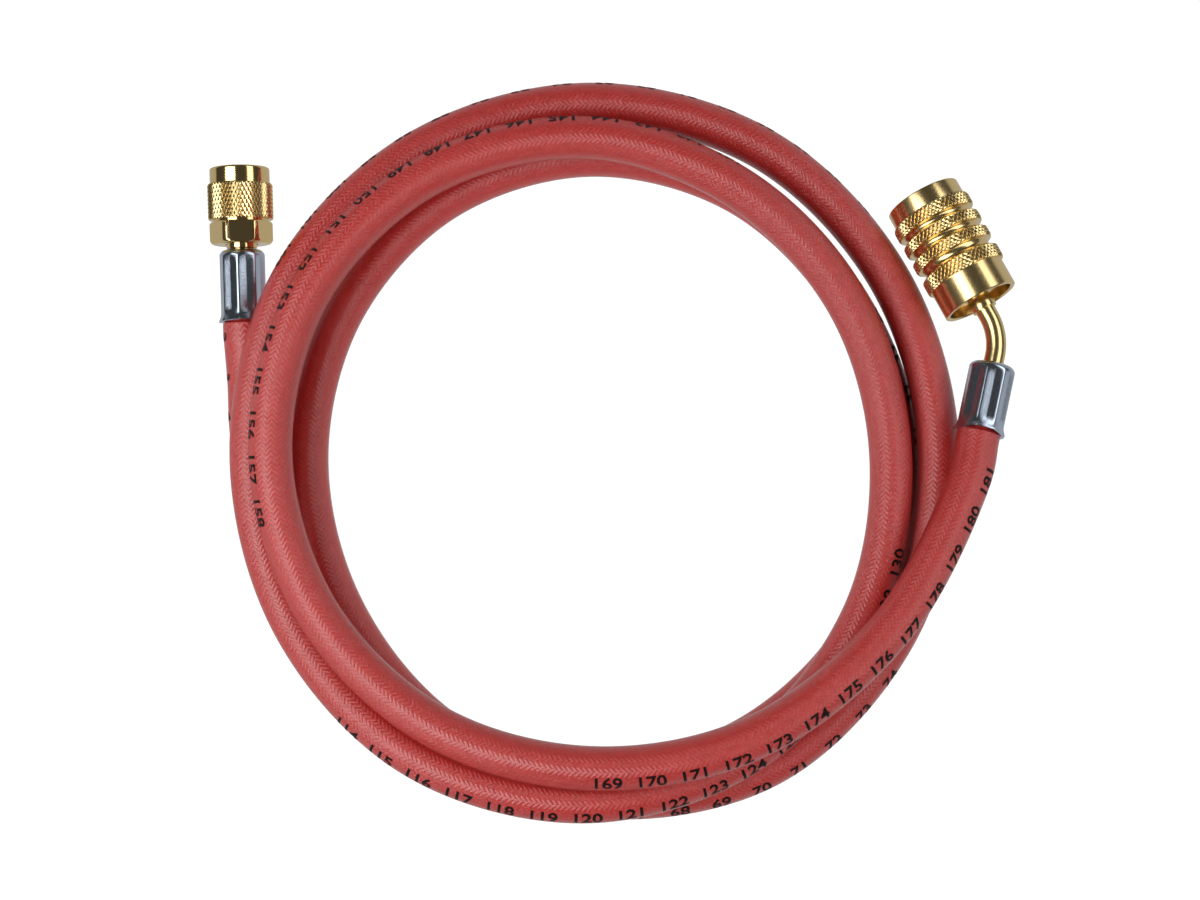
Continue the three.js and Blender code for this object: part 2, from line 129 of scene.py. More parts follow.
NUT_THREAD_FLOOR = 5.5
BODY_THREAD_FLOOR = 2.5
TUBE_RADIUS = 2.45
TUBE_BORE_RADIUS = 1.5
FERRULE_TO_BEND = 7.5
BEND_TO_SLEEVE = 9.4
TUBE_BEND_RADIUS = 15.0
TUBE_BEND_STEPS = 24
TUBE_SIDES = 64
TUBE_COLLAR_RADIUS = 3.1
TUBE_COLLAR_REACH = 2.2
SLEEVE_COLLAR_RADIUS = 9.45
SLEEVE_RING_RADIUS = 10.3
SLEEVE_KNURLS_AROUND = 50
SLEEVE_KNURL_ROW = 1.6
SLEEVE_KNURL_DEPTH = 0.34
SLEEVE_KNURL_SEAT = 0.55
SLEEVE_GROOVE_RADIUS = 8.7
SLEEVE_GROOVE_RIM = 0.35
SLEEVE_GROOVE_SQUARENESS = 0.35
SLEEVE_GROOVE_STEPS = 12
SLEEVE_REAR_COLLAR = 7.3
SLEEVE_RINGS = [3.6, 2.8, 2.6, 3.2]
SLEEVE_GROOVES = [2.5, 2.0, 1.9]
SLEEVE_TIP_COLLAR = 4.3
SLEEVE_HOLLOW_RADIUS = 8.2
SLEEVE_HOLLOW_DEPTH = 6.5
SLEEVE_BORE_RADIUS = 6.6
SLEEVE_TIP_ROUND = 0.3
SLEEVE_MOUTH_BEVEL = 0.2
SLEEVE_HOLLOW_BEVEL = 0.25
TURNED_SIDES = 96
BODY_SIDES = 128
FINE_SIDES = 192
BODY_REAR_START = 1.5
BODY_STUB_RADIUS = 4.5
BODY_FLANGE_RADIUS = 7.2
BODY_FLANGE_START = 3.8
BODY_TIP_INSET = 0.6
BODY_TUBE_SOCKET = 4.5
BODY_SOCKET_DEPTH = 10.4
KNURL_STEPS = 8
KNURL_CREST = 0.12
KNURL_ROOT_WALL = 0.5
KNURL_BEVEL = 0.3
KNURL_SEAT = 0.05
SLEEVE_LENGTH = SLEEVE_REAR_COLLAR + sum(SLEEVE_RINGS) + sum(SLEEVE_GROOVES) + SLEEVE_TIP_COLLAR
NUT_HOSE_DEPTH = NUT_FERRULE_LENGTH - FERRULE_FRONT_WALL - FIT_GAP
COUPLER_HOSE_DEPTH = COUPLER_FERRULE_LENGTH - FERRULE_FRONT_WALL - FIT_GAP
NUT_START = NUT_FERRULE_LENGTH + FIT_GAP + NECK_VISIBLE

# Braid under the rubber, and the print on it
BRAID_STRANDS = 26
BRAID_STRANDS_PER_METRE = 800
BRAID_RELIEF_STRENGTH = 0.8
BRAID_RELIEF = 0.08 * MM
PRINT_FIRST_MM = 17.5
PRINT_PERIOD_MM = 278.5
PRINT_LENGTH_MM = 176
PRINT_STEP_MM = 10
PRINT_SIZE = 4.8 * MM
PRINT_HEIGHT = 3.35 * MM
PRINT_BOLDNESS = 0.1 * MM
PRINT_THICKNESS = 0.04 * MM
PRINT_TURNS = [
    (0, 70), (60, 70), (300, 60), (575, 46), (686, 46), (750, 60), (856, 85), (992, 77), (1030, 72),
    (1133, 65), (1155, 48), (1212, 42), (1307, 40), (1412, 80), (1450, 62), (1558, 57), (1585, 53),
    (1685, 34), (1726, 41), (1754, 34), (1775, 49), (1806, 43), (1821, 60),
]

# Colours
RUBBER_DEEP_RED = (0.50, 0.028, 0.024)
RUBBER_LIGHT_RED = (0.57, 0.034, 0.029)
BRASS_COLOUR = (0.85, 0.64, 0.30)
PLATED_COLOUR = (0.52, 0.60, 0.72)
BLACK_RUBBER_COLOUR = (0.02, 0.02, 0.02)
PRINT_BLACK = (0.004, 0.003, 0.003)
PRINT_WORN_BLACK = (0.03, 0.008, 0.008)
SURFACE_RELIEF = 0.05 * MM

# Table, in metres
TABLE_HALF_SIZES = [0.2, 0.4, 0.8, 3.0]
TABLE_DROP = 0.0002
TABLE_GREY = (0.12, 0.12, 0.12)
PANEL_RADIUS = 0.25
PANEL_FADE_RADIUS = 1.6
PANEL_STRENGTH = 1.0
MIRRORED_STRENGTH = 0.35

# Lights: place and size in metres, power in watts
LEFT_SOFTBOX_PLACE = (-0.39, -0.18, 0.53)
LEFT_SOFTBOX_SIZE = (0.44, 0.9)
RIGHT_SOFTBOX_PLACE = (0.62, 0.12, 0.53)
RIGHT_SOFTBOX_SIZE = (0.56, 1.3)
SOFTBOX_WATTS = 4.6
ROOM_COLOUR = (1.0, 0.95, 0.88)
ROOM_STRENGTH = 0.06

# Camera: straight down over the middle of the photograph
CAMERA_PLACE = Vector((-1.94, -0.99, 514.0)) * MM
SENSOR_WIDTH = 36.0
PHOTO_WIDTH = 1200
FOCAL_PIXELS = 2025


# Places and axes

def axis_matrix(place, heading, rise):
    """The frame of a fitting: its own +Y starts at the place and points along the heading."""
    turn = Matrix.Rotation(math.radians(heading), 4, "Z")
    climb = Matrix.Rotation(math.radians(rise), 4, "X")
    return Matrix.Translation(place) @ turn @ climb


NUT_END_FRAME = axis_matrix(NUT_END_PLACE, NUT_END_HEADING, NUT_END_RISE)
COUPLER_END_FRAME = axis_matrix(COUPLER_END_PLACE, COUPLER_END_HEADING, COUPLER_END_RISE)
NUT_END_AXIS = (NUT_END_FRAME.to_3x3() @ Vector((0, 1, 0))).normalized()
COUPLER_END_AXIS = (COUPLER_END_FRAME.to_3x3() @ Vector((0, 1, 0))).normalized()
BEND_DISTANCE = (COUPLER_FERRULE_LENGTH + FERRULE_TO_BEND) * MM
BEND_CORNER = COUPLER_END_PLACE + COUPLER_END_AXIS * BEND_DISTANCE
COUPLER_AXIS = axis_matrix(Vector(), COUPLER_HEADING, COUPLER_RISE).to_3x3() @ Vector((0, 1, 0))
SLEEVE_PLACE = BEND_CORNER + COUPLER_AXIS * BEND_TO_SLEEVE * MM
COUPLER_FRAME = axis_matrix(SLEEVE_PLACE, COUPLER_HEADING, COUPLER_RISE)


# Hose route

def hose_points():
    """The route's points: straight in both ferrules, and every 30 degrees round the coil."""
    coil = []
    for i, (radius, height) in enumerate(zip(COIL_RADII_MM, COIL_HEIGHTS_MM)):
        angle = math.radians(COIL_FIRST_ANGLE + i * COIL_STATION_STEP)
        coil.append(Vector((
            COIL_CENTRE[0] + radius * MM * math.cos(angle),
            COIL_CENTRE[1] + radius * MM * math.sin(angle),
            height * MM,
        )))
    return [
        NUT_END_PLACE + NUT_END_AXIS * NUT_HOSE_DEPTH * MM,
        NUT_END_PLACE.copy(),
        NUT_END_PLACE - NUT_END_AXIS * BULGE_LENGTH * MM,
        HOSE_NEAR_NUT_END,
        *coil,
        HOSE_NEAR_COUPLER_END,
        COUPLER_END_PLACE - COUPLER_END_AXIS * BULGE_LENGTH * MM,
        COUPLER_END_PLACE.copy(),
        COUPLER_END_PLACE + COUPLER_END_AXIS * COUPLER_HOSE_DEPTH * MM,
    ]


def smooth_line(points, steps):
    """A centripetal Catmull-Rom curve through the points, with steps between neighbours."""
    ends = [points[0] * 2 - points[1], *points, points[-1] * 2 - points[-2]]
    line = []
    for i in range(1, len(ends) - 2):
        p0, p1, p2, p3 = ends[i - 1:i + 3]
        t1 = (p1 - p0).length ** 0.5
        t2 = t1 + (p2 - p1).length ** 0.5
        t3 = t2 + (p3 - p2).length ** 0.5
        for step in range(steps):
            t = t1 + (t2 - t1) * step / steps
            a1 = p0 * ((t1 - t) / t1) + p1 * (t / t1)
            a2 = p1 * ((t2 - t) / (t2 - t1)) + p2 * ((t - t1) / (t2 - t1))
            a3 = p2 * ((t3 - t) / (t3 - t2)) + p3 * ((t - t2) / (t3 - t2))
            b1 = a1 * ((t2 - t) / t2) + a2 * (t / t2)
            b2 = a2 * ((t3 - t) / (t3 - t1)) + a3 * ((t - t1) / (t3 - t1))
            line.append(b1 * ((t2 - t) / (t2 - t1)) + b2 * ((t - t1) / (t2 - t1)))
    line.append(points[-1].copy())
    return line


def line_frames(line):
    """For each point of a nearly level line: tangent, outward side and up, and the way so far."""
    frames = []
    way = 0.0
    for i, point in enumerate(line):
        before = line[max(i - 1, 0)]
        after = line[min(i + 1, len(line) - 1)]
        tangent = (after - before).normalized()
        outward = tangent.cross(Vector((0, 0, 1))).normalized()
        up = outward.cross(tangent).normalized()
        if i:
            way += (point - line[i - 1]).length
        frames.append((point, tangent, outward, up, way))
    return frames


# Mesh helpers

def new_object(name, mesh, materials, body):
    piece = bpy.data.objects.new(name, mesh)
    bpy.context.scene.collection.objects.link(piece)
    for material in materials:
        mesh.materials.append(material)
    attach(piece, body)
    return piece


def mark_sharp(mesh, limit=38):
    """Smooth shading, with edges sharper than the limit in degrees kept hard."""
    shape = bmesh.new()
    shape.from_mesh(mesh)
    for face in shape.faces:
        face.smooth = True
    for edge in shape.edges:
        if len(edge.link_faces) == 2 and edge.calc_face_angle() > math.radians(limit):
            edge.smooth = False
    shape.to_mesh(mesh)
    shape.free()


def grid_faces(rows, columns, wrap_rows):
    """Quads over rows of vertices that each close on themselves."""
    faces = []
    for i in range(rows if wrap_rows else rows - 1):
        for j in range(columns):
            a = i * columns + j
            b = i * columns + (j + 1) % columns
            c = ((i + 1) % rows) * columns + (j + 1) % columns
            d = ((i + 1) % rows) * columns + j
            faces.append((a, b, c, d))
    return faces


def softened(profile, size=0.1):
    """A closed profile with each corner cut by a small round of three points."""
    soft = []
    count = len(profile)
    for i, corner in enumerate(profile):
        here = Vector(corner)
        before = Vector(profile[i - 1]) - here
        after = Vector(profile[(i + 1) % count]) - here
        if before.length < 1e-6 or after.length < 1e-6:
            continue
        straight = before.normalized().dot(after.normalized()) < -0.95
        if straight:
            soft.append(tuple(here))
            continue
        reach = min(size, before.length * 0.4, after.length * 0.4)
        start = here + before.normalized() * reach
        end = here + after.normalized() * reach
        middle = (start + end) / 4 + here / 2
        soft += [tuple(start), tuple(middle), tuple(end)]
    return soft


def revolved(profile, place, segments=TURNED_SIDES, shape=None):
    """Turns a closed profile of (radius, along) in millimetres round a fitting's own axis.
    shape(radius, along, angle) may change the radius round the turn."""
    vertices = []
    for radius, along in profile:
        for j in range(segments):
            angle = 2 * math.pi * j / segments
            r = shape(radius, along, angle) if shape else radius
            vertices.append(place @ Vector((r * math.sin(angle), along, r * math.cos(angle))))
    return vertices, grid_faces(len(profile), segments, True)


def to_metres(place):
    return place @ Matrix.Scale(MM, 4)


def mesh_of(name, *groups):
    """One mesh from lists of vertices and faces, with a material for each group of them."""
    vertices = []
    faces = []
    indices = []
    for index, parts in enumerate(groups):
        for part_vertices, part_faces in parts:
            first = len(vertices)
            vertices += part_vertices
            faces += [tuple(first + i for i in face) for face in part_faces]
            indices += [index] * len(part_faces)
    mesh = bpy.data.meshes.new(name)
    mesh.from_pydata(vertices, [], faces)
    mesh.polygons.foreach_set("material_index", indices)
    shape = bmesh.new()
    shape.from_mesh(mesh)
    bmesh.ops.recalc_face_normals(shape, faces=shape.faces)
    shape.to_mesh(mesh)
    shape.free()
    mark_sharp(mesh)
    return mesh


def rounded_shoulder(radius, along, size, steps):
    points = []
    for i in range(steps + 1):
        angle = math.pi / 2 * i / steps
        points.append((radius - size + size * math.cos(angle), along - size + size * math.sin(angle)))
    return points


# Knurling

def knurled_ring(place, radius, start, length, around, row_length, depth):
    """A band of raised diamonds: two crossing families of V grooves cut into a cylinder.
    The triangles are split so that their edges run along both families."""
    segments = around * KNURL_STEPS
    rows = round(length / row_length * KNURL_STEPS)
    vertices = []
    for i in range(rows + 1):
        along = start + length * i / rows
        edge = min(i, rows - i) * length / rows
        drop = max(0.0, KNURL_BEVEL - edge)
        for j in range(segments):
            angle = 2 * math.pi * j / segments
            right = abs((i + j) % KNURL_STEPS / KNURL_STEPS - 0.5) * 2
            left = abs((j - i) % KNURL_STEPS / KNURL_STEPS - 0.5) * 2
            cut = max(right, left, KNURL_CREST) - KNURL_CREST
            r = radius - depth * cut / (1 - KNURL_CREST) - drop
            vertices.append(place @ Vector((r * math.sin(angle), along, r * math.cos(angle))))
    faces = []
    for i in range(rows):
        for j in range(segments):
            a = i * segments + j
            b = i * segments + (j + 1) % segments
            c = (i + 1) * segments + (j + 1) % segments
            d = (i + 1) * segments + j
            if (i + j) % 2:
                faces += [(a, b, d), (b, c, d)]
            else:
                faces += [(a, b, c), (a, c, d)]
    inner = radius - depth - KNURL_ROOT_WALL
    first = len(vertices)
    for along in (start + length, start):
        for j in range(segments):
            angle = 2 * math.pi * j / segments
            vertices.append(place @ Vector((inner * math.sin(angle), along, inner * math.cos(angle))))
    for low, high in ((rows * segments, first), (first, first + segments), (first + segments, 0)):
        for j in range(segments):
            k = (j + 1) % segments
            faces.append((low + j, low + k, high + k, high + j))
    return vertices, faces


# Materials

def new_material(name):
    material = bpy.data.materials.new(name)
    material.use_nodes = True
    nodes = material.node_tree.nodes
    return material, nodes, material.node_tree.links, nodes["Principled BSDF"]


def link_ramp(nodes, links, source, stops):
    ramp = nodes.new("ShaderNodeValToRGB")
    elements = ramp.color_ramp.elements
    while len(elements) < len(stops):
        elements.new(0.5)
    for element, (place, colour) in zip(elements, stops):
        element.position = place
        element.color = (*colour, 1)
    links.new(source, ramp.inputs["Fac"])
    return ramp.outputs["Color"]


def maths(nodes, links, operation, first, second=None):
    node = nodes.new("ShaderNodeMath")
    node.operation = operation
    for socket, value in zip(node.inputs, (first, second)):
        if value is None:
            continue
        if isinstance(value, (int, float)):
            socket.default_value = value
        else:
            links.new(value, socket)
    return node.outputs["Value"]


def hose_material():
    """Glossy red rubber over a textile braid, which shows as a fine herringbone relief."""
    material, nodes, links, shader = new_material("red_hose_rubber")
    place = nodes.new("ShaderNodeUVMap")
    place.uv_map = "along_around"
    split = nodes.new("ShaderNodeSeparateXYZ")
    links.new(place.outputs["UV"], split.inputs["Vector"])
    strands = maths(nodes, links, "MULTIPLY", split.outputs["Y"], BRAID_STRANDS)
    lay = maths(nodes, links, "MULTIPLY", split.outputs["X"], BRAID_STRANDS_PER_METRE)
    right = maths(nodes, links, "ADD", strands, lay)
    left = maths(nodes, links, "SUBTRACT", strands, lay)
    crossing = maths(nodes, links, "ADD", maths(nodes, links, "FLOOR", right),
                     maths(nodes, links, "FLOOR", left))
    right_on_top = maths(nodes, links, "LESS_THAN",
                         maths(nodes, links, "FLOORED_MODULO", crossing, 4), 2)
    ridges = []
    for way in (right, left):
        swing = maths(nodes, links, "SINE", maths(nodes, links, "MULTIPLY", way, math.pi))
        ridges.append(maths(nodes, links, "ABSOLUTE", swing))
    weave = nodes.new("ShaderNodeMix")
    links.new(right_on_top, weave.inputs["Factor"])
    links.new(ridges[1], weave.inputs["A"])
    links.new(ridges[0], weave.inputs["B"])
    grain = nodes.new("ShaderNodeTexNoise")
    grain.inputs["Scale"].default_value = 1400
    grain.inputs["Detail"].default_value = 2
    relief = maths(nodes, links, "ADD", weave.outputs["Result"], grain.outputs["Fac"])
    bump = nodes.new("ShaderNodeBump")
    bump.inputs["Strength"].default_value = BRAID_RELIEF_STRENGTH
    bump.inputs["Distance"].default_value = BRAID_RELIEF
    links.new(relief, bump.inputs["Height"])
    links.new(bump.outputs["Normal"], shader.inputs["Normal"])
    links.new(bump.outputs["Normal"], shader.inputs["Coat Normal"])
    cloud = nodes.new("ShaderNodeTexNoise")
    cloud.inputs["Scale"].default_value = 60
    cloud.inputs["Detail"].default_value = 2
    colour = link_ramp(nodes, links, cloud.outputs["Fac"], [
        (0.3, RUBBER_DEEP_RED),
        (0.7, RUBBER_LIGHT_RED),
    ])
    links.new(colour, shader.inputs["Base Color"])
    shader.inputs["Roughness"].default_value = 0.2
    shader.inputs["Specular IOR Level"].default_value = 0.7
    shader.inputs["Coat Weight"].default_value = 0.6
    shader.inputs["Coat Roughness"].default_value = 0.12
    return material


def metal_material(name, colour, roughness, relief):
    """Machined metal: a faint fine-grained relief and a little uneven polish."""
    material, nodes, links, shader = new_material(name)
    noise = nodes.new("ShaderNodeTexNoise")
    noise.inputs["Scale"].default_value = 320
    noise.inputs["Detail"].default_value = 4
    polish = link_ramp(nodes, links, noise.outputs["Fac"], [
        (0.3, (roughness * 0.75,) * 3),
        (0.75, (roughness * 1.35,) * 3),
    ])
    links.new(polish, shader.inputs["Roughness"])
    bump = nodes.new("ShaderNodeBump")
    bump.inputs["Strength"].default_value = relief
    bump.inputs["Distance"].default_value = SURFACE_RELIEF
    links.new(noise.outputs["Fac"], bump.inputs["Height"])
    links.new(bump.outputs["Normal"], shader.inputs["Normal"])
    shader.inputs["Base Color"].default_value = (*colour, 1)
    shader.inputs["Metallic"].default_value = 1.0
    return material


def gasket_material():
    material, nodes, links, shader = new_material("black_rubber")
    noise = nodes.new("ShaderNodeTexNoise")
    noise.inputs["Scale"].default_value = 1500
    bump = nodes.new("ShaderNodeBump")
    bump.inputs["Strength"].default_value = 0.2
    bump.inputs["Distance"].default_value = SURFACE_RELIEF
    links.new(noise.outputs["Fac"], bump.inputs["Height"])
    links.new(bump.outputs["Normal"], shader.inputs["Normal"])
    shader.inputs["Base Color"].default_value = (*BLACK_RUBBER_COLOUR, 1)
    shader.inputs["Roughness"].default_value = 0.6
    return material


def print_material():
    material, nodes, links, shader = new_material("black_print")
    noise = nodes.new("ShaderNodeTexNoise")
    noise.inputs["Scale"].default_value = 1800
    colour = link_ramp(nodes, links, noise.outputs["Fac"], [
        (0.4, PRINT_BLACK),
        (0.8, PRINT_WORN_BLACK),
    ])
    links.new(colour, shader.inputs["Base Color"])
    shader.inputs["Specular IOR Level"].default_value = 0.2
    shader.inputs["Roughness"].default_value = 0.5
    return material


# Hose

def ferrule_squeeze(point):
    """How much of its radius the hose keeps where a ferrule grips it."""
    squeezed = (FERRULE_INNER_RADIUS - FIT_GAP) * MM / HOSE_RADIUS
    for place, axis in ((NUT_END_PLACE, NUT_END_AXIS), (COUPLER_END_PLACE, COUPLER_END_AXIS)):
        along = (point - place).dot(axis) / MM
        away = (point - place - axis * along * MM).length / MM
        if away < 2 and along > -SQUEEZE_LENGTH:
            share = min(1.0, (along + SQUEEZE_LENGTH) / SQUEEZE_LENGTH)
            share = share * share * (3 - 2 * share)
            return 1 + (squeezed - 1) * share
    return 1.0


def build_hose(material):
    line = smooth_line(hose_points(), STEPS_PER_STATION)
    frames = line_frames(line)
    vertices = []
    for point, tangent, outward, up, way in frames:
        radius = HOSE_RADIUS * ferrule_squeeze(point)
        for j in range(HOSE_SIDES):
            angle = 2 * math.pi * j / HOSE_SIDES
            vertices.append(point + outward * radius * math.sin(angle) + up * radius * math.cos(angle))
    faces = grid_faces(len(frames), HOSE_SIDES, False)
    last = len(vertices) - HOSE_SIDES
    faces.append(tuple(range(HOSE_SIDES)))
    faces.append(tuple(last + j for j in reversed(range(HOSE_SIDES))))
    mesh = bpy.data.meshes.new("hose_rubber")
    mesh.from_pydata(vertices, [], faces)
    uv = mesh.uv_layers.new(name="along_around")
    for polygon in mesh.polygons:
        columns = [mesh.loops[k].vertex_index % HOSE_SIDES for k in polygon.loop_indices]
        wraps = 0 in columns and HOSE_SIDES - 1 in columns and len(columns) == 4
        for k, column in zip(polygon.loop_indices, columns):
            ring = mesh.loops[k].vertex_index // HOSE_SIDES
            if wraps and column == 0:
                column = HOSE_SIDES
            uv.data[k].uv = (frames[ring][4], column / HOSE_SIDES)
    shape = bmesh.new()
    shape.from_mesh(mesh)
    bmesh.ops.recalc_face_normals(shape, faces=shape.faces)
    shape.to_mesh(mesh)
    shape.free()
    mark_sharp(mesh, 60)
    piece = new_object("red_hose", mesh, [material], "hose")
    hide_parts("hose")
    return piece, line, frames


# Print on the hose

def digit_mesh(text):
    """A number as a thin closed plate, cut fine enough to wrap round the hose."""
    curve = bpy.data.curves.new("number", "FONT")
    curve.body = text
    curve.size = PRINT_SIZE
    curve.offset = PRINT_BOLDNESS
    curve.extrude = PRINT_THICKNESS
    curve.resolution_u = 3
    curve.align_x = "CENTER"
    holder = bpy.data.objects.new("number", curve)
    mesh = bpy.data.meshes.new_from_object(holder)
    bpy.data.objects.remove(holder)
    bpy.data.curves.remove(curve)
    plate = bmesh.new()
    plate.from_mesh(mesh)
    bpy.data.meshes.remove(mesh)
    bmesh.ops.remove_doubles(plate, verts=plate.verts, dist=1e-7)
    for axis, step in ((Vector((0, 1, 0)), 0.5 * MM), (Vector((1, 0, 0)), 1.5 * MM)):
        for k in range(-8, 9):
            bmesh.ops.bisect_plane(plate, geom=plate.verts[:] + plate.edges[:] + plate.faces[:],
                                   dist=1e-7, plane_co=axis * step * (k + 0.37), plane_no=axis)
    bmesh.ops.triangulate(plate, faces=plate.faces)
    return plate


def place_on_line(frames, way):
    """Centre, outward side and up of the hose at a way along it, as the mesh's own flats have them."""
    low = 0
    high = len(frames) - 1
    while high - low > 1:
        middle = (low + high) // 2
        if frames[middle][4] <= way:
            low = middle
        else:
            high = middle
    share = (way - frames[low][4]) / (frames[high][4] - frames[low][4])
    return [frames[low][k].lerp(frames[high][k], share) for k in (0, 2, 3)]


def print_turn(way_mm):
    """How far the print has turned from the hose's top to its outer side, in radians."""
    for (start, first), (end, last) in zip(PRINT_TURNS, PRINT_TURNS[1:]):
        if way_mm <= end:
            return math.radians(first + (last - first) * (way_mm - start) / (end - start))
    return math.radians(PRINT_TURNS[-1][1])


def build_print(frames, material):
    """Plain running numbers, one each centimetre, in stretches that repeat along the hose."""
    vertices = []
    faces = []
    last_way = frames[-1][4] / MM - COUPLER_HOSE_DEPTH
    start = PRINT_FIRST_MM
    while start < last_way:
        end = min(start + PRINT_LENGTH_MM, last_way)
        number = math.ceil(start / PRINT_STEP_MM)
        while number * PRINT_STEP_MM + PRINT_STEP_MM / 2 < end:
            plate = digit_mesh(str(number))
            turn = print_turn(number * PRINT_STEP_MM)
            first = len(vertices)
            for vertex in plate.verts:
                x, y, z = vertex.co
                centre, outward, up = place_on_line(frames, number * PRINT_STEP_MM * MM + x)
                angle = turn - (y - PRINT_HEIGHT / 2) / HOSE_RADIUS
                reach = HOSE_RADIUS + z
                vertices.append(centre + (outward * math.sin(angle) + up * math.cos(angle)) * reach)
            plate.verts.index_update()
            faces += [tuple(first + vertex.index for vertex in face.verts) for face in plate.faces]
            plate.free()
            number += 1
        start += PRINT_PERIOD_MM
    mesh = bpy.data.meshes.new("running_numbers")
    mesh.from_pydata(vertices, [], faces)
    return new_object("running_numbers", mesh, [material], "hose")


# Fittings

def flute_press(turn, length):
    """Eight slightly hollow panels that the crimping tool pressed, with narrow ridges between."""
    shoulder = length - FERRULE_SHOULDER

    def press(radius, along, angle):
        panel = 2 * math.pi / FLUTES
        off_middle = (angle - math.radians(turn)) % panel - panel / 2
        from_ridge = 1 - abs(off_middle) / (panel / 2)
        if radius > FERRULE_RADIUS + 0.01:
            return radius + FERRULE_LIP_EARS * (1 - from_ridge) ** 4
        if radius < FERRULE_RADIUS - 0.5:
            return radius
        start_fade = max(0.0, (along - FLUTE_START) / FLUTE_START_FADE)
        end_fade = max(0.0, (shoulder + FLUTE_END_REACH - along) / FLUTE_END_FADE)
        fade = min(1.0, start_fade, end_fade)
        soft = math.hypot(from_ridge, FLUTE_RIDGE_SOFTNESS) - FLUTE_RIDGE_SOFTNESS
        return radius - FLUTE_DEPTH * (2 * soft - soft * soft) * fade
    return press


def sagging_lip(place, sag, part):
    """Moves the lip's sides back along the hose, as the crimping tool left them."""
    vertices, faces = part
    inverse = place.inverted()
    moved = []
    for vertex in vertices:
        local = inverse @ vertex
        if local.y < FERRULE_LIP_SPREAD:
            share = 1 - max(local.y, 0) / FERRULE_LIP_SPREAD
            side = local.x * local.x / (local.x * local.x + local.z * local.z)
            local.y += share * (FERRULE_LIP_LIFT * (1 - side) - sag * side)
        moved.append(place @ local)
    return moved, faces


def build_ferrule(name, node, place, length, hole, flute_turn, sag, material):
    shoulder = length - FERRULE_SHOULDER
    front = length - FERRULE_FRONT_WALL
    grip_start = 2 * FERRULE_LIP_LENGTH
    grip = []
    for i in range(FERRULE_STEPS + 1):
        grip.append((FERRULE_RADIUS, grip_start + (shoulder - grip_start) * i / FERRULE_STEPS))
    profile = [
        (FERRULE_INNER_RADIUS, 0.0),
        (FERRULE_LIP_RADIUS - 0.1, -0.1),
        (FERRULE_LIP_RADIUS + 0.1, 0.05),
        (FERRULE_LIP_RADIUS + 0.05, FERRULE_LIP_LENGTH * 0.4),
        (FERRULE_LIP_RADIUS - 0.15, FERRULE_LIP_LENGTH),
        *grip,
        *rounded_shoulder(FERRULE_RADIUS, length, FERRULE_SHOULDER, 8)[1:],
        (hole, length),
        (hole, front),
        (FERRULE_INNER_RADIUS, front),
    ]
    part = revolved(profile, to_metres(place), FERRULE_SIDES, flute_press(flute_turn, length))
    part = sagging_lip(to_metres(place), sag, part)
    piece = new_object(name, mesh_of(name, [part]), [material], "hose")
    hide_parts(node)
    return piece


def build_nut_end_stem(material):
    neck_start = NUT_FERRULE_LENGTH + FIT_GAP
    head_start = NUT_START + NUT_HEX_LENGTH + FIT_GAP
    profile = softened([
        (STEM_BORE_RADIUS, NUT_HOSE_DEPTH + FIT_GAP),
        (STEM_WAIST_RADIUS, NUT_HOSE_DEPTH + FIT_GAP),
        (STEM_WAIST_RADIUS, neck_start),
        (NECK_RADIUS, neck_start),
        (NECK_RADIUS, head_start),
        (HEAD_RADIUS, head_start),
        (HEAD_RADIUS, head_start + HEAD_LENGTH),
        (STEM_BORE_RADIUS, head_start + HEAD_LENGTH),
    ], 0.2)
    part = revolved(profile, to_metres(NUT_END_FRAME))
    piece = new_object("nut_end_neck", mesh_of("nut_end_neck", [part]), [material], "hose")
    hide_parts("nut_end_stem")
    return piece


def threaded_wall(start, end):
    """Thread ridges down a socket from its mouth, as profile points."""
    points = []
    along = start
    while along - THREAD_PITCH > end:
        points.append((THREAD_ROOT_RADIUS, along - THREAD_PITCH * 0.30))
        points.append((THREAD_ROOT_RADIUS, along - THREAD_PITCH * 0.45))
        points.append((THREAD_CREST_RADIUS, along - THREAD_PITCH * 0.85))
        points.append((THREAD_CREST_RADIUS, along - THREAD_PITCH))
        along -= THREAD_PITCH
    return points


def hex_radius(radius, along, angle):
    """The hexagon's flats, with corners turned off to the profile's own radius."""
    if radius < NUT_GROOVE_RADIUS + 0.2:
        return radius
    turn = angle - math.radians(NUT_HEX_TURN)
    sector = math.pi / 3
    from_flat = (turn + sector / 2) % sector - sector / 2
    return min(radius, NUT_HEX_FLAT_RADIUS / math.cos(from_flat))


